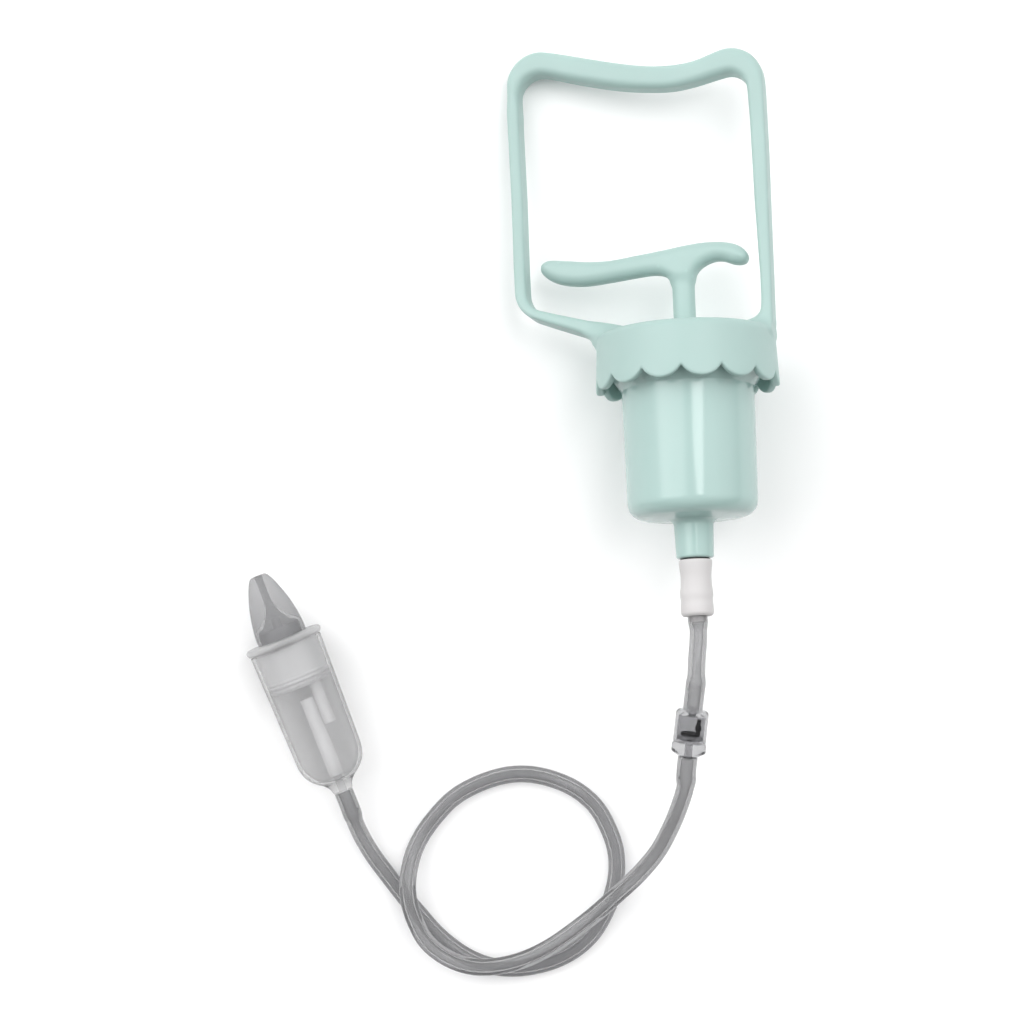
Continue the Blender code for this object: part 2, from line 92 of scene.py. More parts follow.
# =========================== materials =============================================
def new_node(tree, kind, **values):
    node = tree.nodes.new(kind)
    for key, value in values.items():
        setattr(node, key, value)
    return node


def noise(tree, scale, detail=3.0, stretch=(1.0, 1.0, 1.0)):
    """Noise in the piece's own axes, about 1/scale metres to a feature."""
    coords = new_node(tree, "ShaderNodeTexCoord")
    mapping = new_node(tree, "ShaderNodeMapping")
    mapping.inputs["Scale"].default_value = stretch
    tree.links.new(coords.outputs["Object"], mapping.inputs["Vector"])
    texture = new_node(tree, "ShaderNodeTexNoise")
    texture.inputs["Scale"].default_value = scale
    texture.inputs["Detail"].default_value = detail
    tree.links.new(mapping.outputs["Vector"], texture.inputs["Vector"])
    return texture.outputs["Fac"]


def spread(tree, source, low, high, from_low=0.3, from_high=0.7):
    """A 0 to 1 value stretched to low to high."""
    node = new_node(tree, "ShaderNodeMapRange")
    node.inputs["From Min"].default_value = from_low
    node.inputs["From Max"].default_value = from_high
    node.inputs["To Min"].default_value = low
    node.inputs["To Max"].default_value = high
    tree.links.new(source, node.inputs["Value"])
    return node.outputs["Result"]


def blended(tree, factor, first, second):
    """A colour between two, either of which may be a socket."""
    node = new_node(tree, "ShaderNodeMix", data_type="RGBA")
    tree.links.new(factor, node.inputs["Factor"])
    for slot, value in (("A", first), ("B", second)):
        socket = next(s for s in node.inputs if s.name == slot and s.type == "RGBA")
        if isinstance(value, bpy.types.NodeSocket):
            tree.links.new(value, socket)
        else:
            socket.default_value = (*value, 1.0)
    return next(s for s in node.outputs if s.type == "RGBA")


def tinted(colour, share):
    return tuple(min(c * share, 1.0) for c in colour)


def grain_bump(tree, shader, scale, height, strength, stretch=(1.0, 1.0, 1.0)):
    bump = new_node(tree, "ShaderNodeBump")
    bump.inputs["Strength"].default_value = strength
    bump.inputs["Distance"].default_value = height
    tree.links.new(noise(tree, scale, 4.0, stretch), bump.inputs["Height"])
    tree.links.new(bump.outputs["Normal"], shader.inputs["Normal"])


def surface(name, colour, rough, rough_vary=0.05, vary=0.04, patch=45.0, grain=2600.0,
            grain_height=0.00002, grain_strength=0.3, wear=0.0, stretch=(1.0, 1.0, 1.0),
            **sockets):
    """A solid material: patchy colour, uneven roughness, fine grain, paler worn edges."""
    mat = bpy.data.materials.new(name)
    mat.use_nodes = True
    tree = mat.node_tree
    shader = tree.nodes["Principled BSDF"]
    cloud = spread(tree, noise(tree, patch), 0.0, 1.0)
    base = blended(tree, cloud, tinted(colour, 1.0 - vary), tinted(colour, 1.0 + vary))
    if wear:
        geometry = new_node(tree, "ShaderNodeNewGeometry")
        edge = spread(tree, geometry.outputs["Pointiness"], 0.0, wear, 0.52, 0.6)
        base = blended(tree, edge, base, tinted(colour, 1.18))
    tree.links.new(base, shader.inputs["Base Color"])
    smear = noise(tree, patch * 8.0, 5.0, stretch)
    roughness = spread(tree, smear, rough - rough_vary, rough + rough_vary)
    tree.links.new(roughness, shader.inputs["Roughness"])
    grain_bump(tree, shader, grain, grain_height, grain_strength, stretch)
    for key, value in sockets.items():
        shader.inputs[key.replace("_", " ")].default_value = value
    return mat


def banded(mat, place, low, high, inside, outside, soft=0.6):
    """Colour that differs between low and high (mm) along a group's y axis, used to paint zones
    paler where layers of see-through parts would shade them.
    """
    tree = mat.node_tree
    coords = new_node(tree, "ShaderNodeTexCoord")
    away = new_node(tree, "ShaderNodeVectorMath", operation="SUBTRACT")
    away.inputs[1].default_value = place @ Vector((0.0, (low + high) / 2.0 * MM, 0.0))
    tree.links.new(coords.outputs["Object"], away.inputs[0])
    along = new_node(tree, "ShaderNodeVectorMath", operation="DOT_PRODUCT")
    along.inputs[1].default_value = place.to_3x3() @ Vector((0.0, 1.0, 0.0))
    tree.links.new(away.outputs["Vector"], along.inputs[0])
    distance = new_node(tree, "ShaderNodeMath", operation="ABSOLUTE")
    tree.links.new(along.outputs["Value"], distance.inputs[0])
    half = (high - low) / 2.0
    past = spread(tree, distance.outputs["Value"], 0.0, 1.0,
                  (half - soft) * MM, (half + soft) * MM)
    colour = blended(tree, past, inside, outside)
    tree.links.new(colour, tree.nodes["Principled BSDF"].inputs["Base Color"])


def painted_rim_shade(mat, dark, start, end):
    """Painted shade: darken a clear material where its surface turns away, standing in for the
    dark rims that refraction and reflection give a thick clear wall.
    """
    tree = mat.node_tree
    socket = tree.nodes["Principled BSDF"].inputs["Base Color"]
    colour = socket.links[0].from_socket
    weight = new_node(tree, "ShaderNodeLayerWeight")
    weight.inputs["Blend"].default_value = 0.5
    turned = spread(tree, weight.outputs["Facing"], 0.0, 1.0, start, end)
    tree.links.new(blended(tree, turned, colour, dark), socket)


def see_through(name, tint, rough, shadow_tint, vary=0.04, patch=70.0, grain=260.0,
                grain_height=0.00002, **sockets):
    """A translucent material whose shadow is pale, since light comes through it."""
    mat = surface(name, tint, rough, 0.4 * rough, vary, patch, grain, grain_height, 0.2,
                  **sockets)
    tree = mat.node_tree
    shader = tree.nodes["Principled BSDF"]
    output = tree.nodes["Material Output"]
    path = new_node(tree, "ShaderNodeLightPath")
    clear = new_node(tree, "ShaderNodeBsdfTransparent")
    clear.inputs["Color"].default_value = (*shadow_tint, 1.0)
    mix = new_node(tree, "ShaderNodeMixShader")
    tree.links.new(path.outputs["Is Shadow Ray"], mix.inputs["Fac"])
    tree.links.new(shader.outputs["BSDF"], mix.inputs[1])
    tree.links.new(clear.outputs["BSDF"], mix.inputs[2])
    tree.links.new(mix.outputs["Shader"], output.inputs["Surface"])
    return mat


MINT = (0.366, 0.504, 0.477)
MINT_GLOSS = (0.38, 0.527, 0.499)
PALE = (0.86, 0.86, 0.865)
# painted light: the second cup tint is a paler one painted on the cup's neck and outlet end
CUP_BODY, CUP_NECK_PAINTED_PALER = (0.72, 0.72, 0.723), (0.8, 0.8, 0.803)
# painted light: the stopper's skirt colour is paler than its top, to offset the shade inside
# the cup
STOPPER_SKIRT_PAINTED_PALER, STOPPER_TOP = (0.62, 0.62, 0.625), (0.52, 0.52, 0.525)
# painted light: the barb tint is paler than the valve wall, to offset the darkening of the hose
# over the barbs
VALVE_WALL, VALVE_BARB_PAINTED_PALER = (0.5, 0.5, 0.51), (0.94, 0.94, 0.94)
# painted light: above this height the cup's own grey is painted paler round the stopper
CUP_NECK_Y = -14.8       # mm, where the cup's grey gives way to the stopper's
SKIN_DEPTH = {"Subsurface_Radius": (0.002, 0.003, 0.0026), "Subsurface_Scale": 1.0}

mint_satin = surface(
    "mint_satin", MINT, 0.46, vary=0.02, patch=40.0, grain=3200.0, grain_height=0.00001,
    grain_strength=0.25, wear=0.35, Subsurface_Weight=0.12, **SKIN_DEPTH,
)
mint_gloss = surface(
    "mint_gloss", MINT_GLOSS, 0.12, rough_vary=0.03, vary=0.015, patch=35.0, grain=900.0,
    grain_height=0.000006, grain_strength=0.2, wear=0.2, Subsurface_Weight=0.1,
    **SKIN_DEPTH, IOR=1.5,
)
white_plastic = surface(
    "white_plastic", (0.575, 0.56, 0.56), 0.55, rough_vary=0.06, vary=0.02, patch=80.0,
    grain=1700.0, grain_height=0.00004, grain_strength=0.4, wear=0.3,
)
black_rubber = surface(
    "black_rubber", (0.012, 0.012, 0.013), 0.6, rough_vary=0.08, vary=0.2, patch=150.0,
    grain=2200.0, grain_height=0.00003, grain_strength=0.4, Specular_IOR_Level=0.2,
)
pale_rubber = surface(
    "pale_rubber", (0.62, 0.64, 0.65), 0.65, rough_vary=0.06, vary=0.05, patch=120.0,
)
acetal = surface("acetal", (0.84, 0.84, 0.81), 0.36, vary=0.02, patch=90.0)
steel = surface(
    "steel", (0.56, 0.57, 0.58), 0.26, rough_vary=0.08, vary=0.06, patch=200.0,
    grain=3000.0, grain_height=0.00001, stretch=(1.0, 8.0, 1.0), Metallic=1.0,
)
hose_silicone = see_through(
    "hose_silicone", (0.52, 0.52, 0.525), 0.14, (0.72, 0.72, 0.73),
    Transmission_Weight=0.86, IOR=1.25,
)
# painted shade: darker rims where the hose turns away
painted_rim_shade(hose_silicone, (0.36, 0.36, 0.365), 0.1, 0.55)
cup_plastic = see_through(
    "cup_plastic", CUP_BODY, 0.07, (0.78, 0.78, 0.78), grain_height=0.000006,
    Transmission_Weight=0.9, IOR=1.12,
)
# painted light: the cup is tinted paler at its neck and past its outlet end, so the stopper
# inside and the barb under the hose don't read darker through the layers
banded(cup_plastic, CUP, CUP_END_Y, CUP_NECK_Y, CUP_BODY, CUP_NECK_PAINTED_PALER)
# painted shade: darker rims where the cup's wall turns away
painted_rim_shade(cup_plastic, (0.42, 0.42, 0.422), 0.5, 0.72)
pipe_plastic = surface(
    "pipe_plastic", PALE, 0.4, vary=0.03, patch=90.0, grain=500.0, grain_strength=0.2,
    Alpha=0.5, IOR=1.49,
)
stopper_plastic = surface(
    "stopper_plastic", STOPPER_SKIRT_PAINTED_PALER, 0.38, vary=0.03, patch=90.0, grain=500.0,
    grain_strength=0.2, Alpha=0.5, IOR=1.49,
)
# painted light: the plug's part inside the cup is paler than its flange and top, offsetting the
# shade and grey of the cup walls round it
banded(stopper_plastic, CUP, -30.0, -3.0, STOPPER_SKIRT_PAINTED_PALER, STOPPER_TOP, soft=1.2)
smoke_silicone = see_through(
    "smoke_silicone", (0.5, 0.5, 0.506), 0.16, (0.62, 0.62, 0.63),
    Transmission_Weight=0.84, IOR=1.12,
)
# painted shade: darker rims where the nose tip turns away
painted_rim_shade(smoke_silicone, (0.36, 0.36, 0.365), 0.3, 0.9)
clear_plastic = see_through(
    "clear_plastic", VALVE_WALL, 0.025, (0.76, 0.76, 0.77), grain_height=0.000005,
    Transmission_Weight=0.99, IOR=1.16,
)
# painted light: the barbs past the valve's body are tinted paler, so the hose walls over them
# don't darken them
banded(clear_plastic, VALVE, VALVE_END_Y - 0.6, 1.0, VALVE_WALL, VALVE_BARB_PAINTED_PALER)
# painted shade: darker rims where the valve's wall turns away
painted_rim_shade(clear_plastic, (0.36, 0.36, 0.37), 0.4, 0.75)


# =========================== shape helpers ==========================================
def arc(cx, cy, radius, start, end, steps):
    angles = np.radians(np.linspace(start, end, steps + 1))
    return [(cx + radius * math.cos(a), cy + radius * math.sin(a)) for a in angles]


def curve_through(points, per=4, closed=False):
    """Smooth curve through the points (centripetal), per steps to a span."""
    pts = [np.array(p, float) for p in points]
    if closed:
        pts = [pts[-1]] + pts + pts[:2]
    else:
        pts = [2 * pts[0] - pts[1]] + pts + [2 * pts[-1] - pts[-2]]
    out = []
    for p0, p1, p2, p3 in zip(pts, pts[1:], pts[2:], pts[3:]):
        t1 = np.linalg.norm(p1 - p0) ** 0.5
        t2 = t1 + np.linalg.norm(p2 - p1) ** 0.5
        t3 = t2 + np.linalg.norm(p3 - p2) ** 0.5
        for s in range(per):
            t = t1 + (t2 - t1) * s / per
            a1 = p0 * (t1 - t) / t1 + p1 * t / t1
            a2 = p1 * (t2 - t) / (t2 - t1) + p2 * (t - t1) / (t2 - t1)
            a3 = p2 * (t3 - t) / (t3 - t2) + p3 * (t - t2) / (t3 - t2)
            b1 = a1 * (t2 - t) / t2 + a2 * t / t2
            b2 = a2 * (t3 - t) / (t3 - t1) + a3 * (t - t1) / (t3 - t1)
            out.append(b1 * (t2 - t) / (t2 - t1) + b2 * (t - t1) / (t2 - t1))
    if not closed:
        out.append(pts[-2])
    return np.array(out)


def evenly(points, count):
    """The same curve read at evenly spaced lengths."""
    points = np.asarray(points, float)
    run = np.concatenate([[0.0], np.cumsum(np.linalg.norm(np.diff(points, axis=0), axis=1))])
    at = np.linspace(0.0, run[-1], count)
    return np.stack([np.interp(at, run, points[:, k]) for k in range(3)], axis=1)


def rounded(corners, steps=5):
    """Closed outline whose corners (a, b, radius) become arcs."""
    out = []
    for k, (a, b, radius) in enumerate(corners):
        here = Vector((a, b))
        if radius == 0.0:
            out.append((a, b))
            continue
        back = Vector(corners[k - 1][:2]) - here
        ahead = Vector(corners[(k + 1) % len(corners)][:2]) - here
        reach = 0.49 * min(back.length, ahead.length)
        back.normalize()
        ahead.normalize()
        half = math.acos(max(-1.0, min(1.0, back.dot(ahead)))) / 2.0
        cut = min(radius / math.tan(half), reach)
        true_radius = cut * math.tan(half)
        middle = (back + ahead).normalized()
        centre = here + middle * (true_radius / math.sin(half))
        first = here + back * cut - centre
        last = here + ahead * cut - centre
        begin = math.atan2(first.y, first.x)
        sweep = (math.atan2(last.y, last.x) - begin + math.pi) % math.tau - math.pi
        for s in range(steps + 1):
            angle = begin + sweep * s / steps
            out.append((centre.x + true_radius * math.cos(angle),
                        centre.y + true_radius * math.sin(angle)))
    return out


def build_mesh(name, verts, quads):
    mesh = bpy.data.meshes.new(name)
    quads = np.asarray(quads, np.int32)
    mesh.vertices.add(len(verts))
    mesh.vertices.foreach_set("co", (np.asarray(verts) * MM).astype(np.float32).ravel())
    mesh.loops.add(quads.size)
    mesh.loops.foreach_set("vertex_index", quads.ravel())
    mesh.polygons.add(len(quads))
    mesh.polygons.foreach_set("loop_start", np.arange(0, quads.size, 4, dtype=np.int32))
    mesh.polygons.foreach_set("use_smooth", np.ones(len(quads), bool))
    mesh.update(calc_edges=True)
    return mesh


def placed(name, mesh, place, mat, body, slot, *nodes):
    """The finished piece: in its place, riding on its body, standing for CAD nodes."""
    mesh.transform(place)
    obj = bpy.data.objects.new(name, mesh)
    bpy.context.scene.collection.objects.link(obj)
    mesh.materials.clear()
    mesh.materials.append(mat)
    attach(obj, body)
    if nodes:
        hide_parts(*nodes)
    return obj


def turned_mesh(name, profile, segments=128, sharp=32.0, off=(0.0, 0.0)):
    """A closed (radius, y) outline turned about the y axis, or about one beside it."""
    profile = np.asarray(profile, float)
    rings = len(profile)
    angles = np.linspace(0.0, math.tau, segments, endpoint=False)
    radius = np.maximum(profile[:, 0], 0.0)[:, None]
    x = radius * np.cos(angles) + off[0]
    z = radius * np.sin(angles) + off[1]
    y = np.repeat(profile[:, 1][:, None], segments, axis=1)
    verts = np.stack([x, y, z], axis=2).reshape(-1, 3)
    i = np.arange(rings)[:, None]
    j = np.arange(segments)[None, :]
    i2, j2 = (i + 1) % rings, (j + 1) % segments
    quads = np.stack([
        i * segments + j, i * segments + j2, i2 * segments + j2, i2 * segments + j,
    ], axis=2).reshape(-1, 4)
    mesh = build_mesh(name, verts, quads)
    tidy = bmesh.new()
    tidy.from_mesh(mesh)
    bmesh.ops.remove_doubles(tidy, verts=tidy.verts[:], dist=0.0000005)
    bmesh.ops.recalc_face_normals(tidy, faces=tidy.faces[:])
    tidy.to_mesh(mesh)
    tidy.free()
    mesh.set_sharp_from_angle(angle=math.radians(sharp))
    return mesh


def polygon_distance(x, y, points):
    """Signed distance in the x, y plane to a closed outline, negative inside."""
    best = np.full(np.broadcast(x, y).shape, 1e9)
    inside = np.zeros(best.shape, bool)
    for (ax, ay), (bx, by) in zip(points, np.roll(points, -1, axis=0)):
        ex, ey = bx - ax, by - ay
        wx, wy = x - ax, y - ay
        t = np.clip((wx * ex + wy * ey) / (ex * ex + ey * ey), 0.0, 1.0)
        best = np.minimum(best, (wx - ex * t) ** 2 + (wy - ey * t) ** 2)
        up, under, left = y >= ay, y < by, ex * wy > ey * wx
        inside ^= (up & under & left) | (~up & ~under & ~left)
    return np.where(inside, -np.sqrt(best), np.sqrt(best))


def smooth_min(a, b, k):
    h = np.clip(0.5 + 0.5 * (b - a) / k, 0.0, 1.0)
    return b * (1.0 - h) + a * h - k * h * (1.0 - h)


def smooth_max(a, b, k):
    return -smooth_min(-a, -b, k)


def ramp(value, low, high):
    t = np.clip((value - low) / (high - low), 0.0, 1.0)
    return t * t * (3.0 - 2.0 * t)


def slab(flat, z, half, radius):
    """Distance of an outline given thickness, its rims rounded by radius."""
    a = flat + radius
    b = np.abs(z) - half + radius
    outer = np.hypot(np.maximum(a, 0.0), np.maximum(b, 0.0))
    return outer + np.minimum(np.maximum(a, b), 0.0) - radius


def skin_of(name, field, low, high, step):
    """Smooth quad mesh of the field's zero surface inside the box low to high (mm)."""
    counts = [int(math.ceil((h - l) / step)) + 1 for l, h in zip(low, high)]
    x = (low[0] + step * np.arange(counts[0]))[:, None, None]
    y = (low[1] + step * np.arange(counts[1]))[None, :, None]
    z = (low[2] + step * np.arange(counts[2]))[None, None, :]
    f = np.broadcast_to(field(x, y, z), counts).astype(np.float64)
    inside = f < 0.0
    corners = [(a, b, c) for a in (0, 1) for b in (0, 1) for c in (0, 1)]
    full = sum(
        inside[a:counts[0] - 1 + a, b:counts[1] - 1 + b, c:counts[2] - 1 + c].astype(np.int8)
        for a, b, c in corners
    )
    cells = np.argwhere((full > 0) & (full < 8))
    number = np.full([c - 1 for c in counts], -1, np.int64)
    number[tuple(cells.T)] = np.arange(len(cells))
    total = np.zeros((len(cells), 3))
    hits = np.zeros(len(cells))
    for axis in range(3):
        others = [k for k in range(3) if k != axis]
        for a in (0, 1):
            for b in (0, 1):
                start = np.zeros(3, int)
                start[others[0]], start[others[1]] = a, b
                end = start.copy()
                end[axis] = 1
                fa = f[tuple((cells + start).T)]
                fb = f[tuple((cells + end).T)]
                cross = (fa < 0.0) != (fb < 0.0)
                t = np.where(cross, fa / np.where(cross, fa - fb, 1.0), 0.0)
                spot = np.tile(start.astype(float), (len(cells), 1))
                spot[:, axis] = t
                total[cross] += spot[cross]
                hits[cross] += 1.0
    local = total / hits[:, None]
    verts = (cells + local) * step + np.array(low)
    quads = []
    for axis in range(3):
        u, v = [k for k in range(3) if k != axis]
        lower = [slice(1, c - 1) for c in counts]
        lower[axis] = slice(0, counts[axis] - 1)
        upper = list(lower)
        upper[axis] = slice(1, counts[axis])
        first, second = inside[tuple(lower)], inside[tuple(upper)]
        edges = np.argwhere(first != second)
        offset = np.ones(3, int)
        offset[axis] = 0
        out_up = first[tuple(edges.T)]
        edges = edges + offset
        ring = []
        for du, dv in ((-1, -1), (0, -1), (0, 0), (-1, 0)):
            cell = edges.copy()
            cell[:, u] += du
            cell[:, v] += dv
            ring.append(number[tuple(cell.T)])
        ring = np.stack(ring, axis=1)
        turn = out_up if axis != 1 else ~out_up
        ring[~turn] = ring[~turn][:, ::-1]
        quads.append(ring)
    quads = np.concatenate(quads)
    slope = np.stack(np.gradient(f, step), axis=-1)

    def read(array, points):
        place = (points - np.array(low)) / step
        base = np.clip(np.floor(place).astype(int), 0, np.array(counts) - 2)
        share = place - base
        value = 0.0
        for a, b, c in corners:
            weight = (
                (share[:, 0] if a else 1.0 - share[:, 0])
                * (share[:, 1] if b else 1.0 - share[:, 1])
                * (share[:, 2] if c else 1.0 - share[:, 2])
            )
            sample = array[base[:, 0] + a, base[:, 1] + b, base[:, 2] + c]
            value = value + sample * (weight if array.ndim == 3 else weight[:, None])
        return value

    for _ in range(2):
        grad = read(slope, verts)
        size = np.maximum((grad ** 2).sum(axis=1), 0.05)
        shift = grad * (read(f, verts) / size)[:, None]
        verts = verts - np.clip(shift, -0.4 * step, 0.4 * step)
    grad = read(slope, verts)
    normals = grad / np.maximum(np.linalg.norm(grad, axis=1), 1e-9)[:, None]
    mesh = build_mesh(name, verts, quads)
    mesh.normals_split_custom_set_from_vertices(normals.tolist())
    return mesh


def tube_mesh(name, path, outer, inner, segments=40):
    """A tube with a bore along path (mm); outer and inner are radii at each point."""
    path = np.asarray(path, float)
    count = len(path)
    way = np.gradient(path, axis=0)
    way /= np.linalg.norm(way, axis=1)[:, None]
    side = np.cross(way[0], (0.0, 0.0, 1.0))
    side /= np.linalg.norm(side)
    sides = [side]
    for k in range(1, count):
        side = sides[-1] - way[k] * np.dot(sides[-1], way[k])
        sides.append(side / np.linalg.norm(side))
    sides = np.array(sides)
    ups = np.cross(sides, way)
    angles = np.linspace(0.0, math.tau, segments, endpoint=False)
    spoke = (sides[:, None, :] * np.cos(angles)[None, :, None]
             + ups[:, None, :] * np.sin(angles)[None, :, None])
    walls = [path[:, None, :] + spoke * np.asarray(r)[:, None, None] for r in (outer, inner)]
    verts = np.concatenate([w.reshape(-1, 3) for w in walls])
    i = np.arange(count - 1)[:, None]
    j = np.arange(segments)[None, :]
    j2 = (j + 1) % segments
    a, b = i * segments + j, i * segments + j2
    outside = np.stack([a, a + segments, b + segments, b], axis=2).reshape(-1, 4)
    inside = outside[:, ::-1] + count * segments
    ends = []
    for ring, flip in ((0, False), (count - 1, True)):
        p = ring * segments + np.arange(segments)
        q = ring * segments + (np.arange(segments) + 1) % segments
        cap = np.stack([p, q, q + count * segments, p + count * segments], axis=1)
        ends.append(cap[:, ::-1] if flip else cap)
    mesh = build_mesh(name, verts, np.concatenate([outside, inside] + ends))
    tidy = bmesh.new()
    tidy.from_mesh(mesh)
    bmesh.ops.recalc_face_normals(tidy, faces=tidy.faces[:])
    tidy.to_mesh(mesh)
    tidy.free()
    mesh.set_sharp_from_angle(angle=math.radians(50.0))
    return mesh


# =========================== hoses ==================================================
HOSE_R = 3.0
HOSE_BORE = 1.55
SPREAD_R = 3.35          # hose stretched over a barb
LIP_SWELL = 0.14         # small ring over the barb's edge, as a share of the stretch
BORE_SWELL = 0.62        # mm the bore opens over a barb


def on_axis(at, turn, y):
    """Point on a group's y axis and the way down it, in layout mm."""
    yaw, pitch = math.radians(turn[0]), math.radians(turn[1])
    turned = Matrix.Rotation(yaw, 3, "Z") @ Matrix.Rotation(pitch, 3, "X")
    down = turned @ Vector((0.0, -1.0, 0.0))
    return Vector(at) - down * y, down


def laid(points):
    """Layout points moved to the scene's origin, still in mm."""
    return np.asarray(points, float) + np.array(LAYOUT_SHIFT)


connector_face, connector_way = on_axis(PUMP_AT, PUMP_TURN, CONNECTOR_END_Y - GAP)
valve_entry, valve_way = on_axis(VALVE_AT, VALVE_TURN, GAP)
valve_exit, valve_way = on_axis(VALVE_AT, VALVE_TURN, VALVE_END_Y - GAP)
cup_outlet, cup_way = on_axis(CUP_AT, CUP_TURN, CUP_END_Y - GAP)

pump_hose_route = [
    connector_face,
    connector_face + connector_way * 6.0,
    (62.3, -50.0, 45.5),
    (62.0, -57.0, 45.9),
    valve_entry - valve_way * 4.0,
    valve_entry,
]
cup_hose_route = [
    valve_exit,
    valve_exit + valve_way * 5.0,
    (58.8, -92.5, 41.4), (56.9, -100.7, 36.0), (54.2, -109.0, 29.0), (50.4, -117.7, 21.6),
    (44.3, -126.3, 15.4), (37.2, -133.7, 11.6),
    (27.4, -142.6, 10.0), (14.1, -152.3, 9.8), (5.6, -156.6, 9.8), (-2.5, -159.0, 9.9),
    (-11.0, -159.8, 9.9), (-18.0, -158.6, 9.8), (-24.8, -155.3, 9.8), (-30.4, -150.3, 9.9),
    (-33.9, -143.8, 9.9), (-36.0, -137.5, 9.8), (-36.7, -131.1, 8.8),
    (-35.3, -122.1, 5.4), (-32.2, -114.9, 3.6), (-27.2, -107.9, 3.1), (-20.2, -100.8, 3.1),
    (-11.3, -95.9, 3.1), (-2.5, -93.2, 3.1), (5.0, -92.7, 3.1), (13.4, -94.2, 3.1),
    (22.3, -98.0, 3.1), (29.4, -104.0, 3.1), (34.0, -111.8, 3.1), (36.6, -119.6, 3.1),
    (37.0, -127.5, 3.1), (35.4, -135.5, 3.1), (32.5, -142.6, 3.1), (28.3, -149.3, 3.1),
    (22.5, -154.6, 3.1), (14.9, -158.6, 3.1), (6.0, -160.9, 3.1), (-2.5, -161.3, 3.1),
    (-9.8, -159.9, 3.1), (-16.4, -157.0, 3.1), (-22.5, -152.8, 3.1), (-27.6, -148.2, 3.1),
    (-32.5, -142.6, 3.1), (-37.9, -136.2, 3.1), (-43.8, -128.6, 3.2),
    (-49.8, -120.1, 4.7), (-54.2, -111.6, 7.4),
    cup_outlet + cup_way * 6.0,
    cup_outlet,
]


def hose(name, route, count, first_barb, last_barb, nodes):
    """A hose with its bore, stretched over the barb at each end."""
    path = evenly(curve_through(laid(route), 8), count)
    run = np.concatenate([[0.0], np.cumsum(np.linalg.norm(np.diff(path, axis=0), axis=1))])
    length = run[-1]
    swell = np.zeros(count)
    for distance, barb in ((run, first_barb), (length - run, last_barb)):
        lip = np.exp(-((distance - barb + 0.9) / 1.0) ** 2) * LIP_SWELL
        swell = np.maximum(swell, (1.0 - ramp(distance, barb - 0.6, barb + 2.6)) + lip)
    outer = HOSE_R + (SPREAD_R - HOSE_R) * swell
    bore = HOSE_BORE + BORE_SWELL * swell
    mesh = tube_mesh(name, path, outer, bore)
    obj = placed(name, mesh, Matrix.Identity(4), hose_silicone, "pump_and_hose",
                 "hose_silicone", *nodes)
    return obj, path * MM, length * MM


hose("short_hose", pump_hose_route, 90, 2.2, 9.6, ["pump_hose"])
cup_hose, hose_path, hose_length = hose("long_hose", cup_hose_route, 620, 8.4, 9.6,
                                        ["cup_hose"])


# =========================== handle =================================================
COLLAR_R, COLLAR_WALL, COLLAR_TOP, COLLAR_ROUND = 31.0, 2.3, 2.6, 2.7
COLLAR_TAPER = 0.05      # radius gained per mm down
COLLAR_TOP_R = COLLAR_R - 0.55
COLLAR_BLEND = 0.9       # softness of the scallops' edge and the mouth
CUSP_Y, SCALLOPS, SCALLOP_DEEP, SCALLOP_TURN = -15.9, 14, 4.0, 6.2
LOOP_HALF = 4.8
ARM_DEEPER = 2.2         # extra half depth of the left arm at the collar
LOOP_FILLET, ARM_FILLET_MORE = 5.0, 4.0
FILLET_LOW = 0.6         # fillet left on the collar's side below the loop
ROD_HOLE_R = 7.3

loop_points = [(30.9, -2.2), (30.9, 2.0)]
loop_points += arc(19.5, 86.4, 11.7, 0.0, 112.0, 7)
loop_points += [(7.0, 94.8), (-0.6, 94.2), (-9.0, 94.8), (-20.0, 97.1), (-33.0, 100.6)]
loop_points += arc(-47.8, 92.4, 11.7, 76.0, 180.0, 7)
loop_points += [(-59.0, 52.0)]
loop_points += arc(-47.4, 19.0, 11.5, 180.0, 252.0, 5)
loop_points += [(-37.2, 2.7), (-33.6, 1.3), (-31.4, -0.6), (-30.2, -2.6), (-24.0, -2.6)]
loop_points += [(-17.0, -2.2), (-17.0, 0.3), (-22.5, 2.8), (-29.0, 5.0)]
loop_points += arc(-47.5, 18.2, 7.3, 254.0, 180.0, 5)
loop_points += [(-54.9, 52.0)]
loop_points += arc(-47.7, 88.1, 7.5, 180.0, 77.0, 5)
loop_points += [(-34.0, 91.8), (-20.0, 88.2), (-9.0, 86.6), (-1.0, 86.1), (7.0, 86.9)]
loop_points += arc(18.9, 82.2, 6.9, 104.0, 0.0, 5)
loop_points += [(26.5, 42.0), (27.2, 9.0), (26.6, 5.0), (24.4, 2.6), (20.0, 1.2), (15.0, 0.3)]
loop_points += [(15.0, -2.2)]
loop_outline = curve_through(loop_points, 3, closed=True)


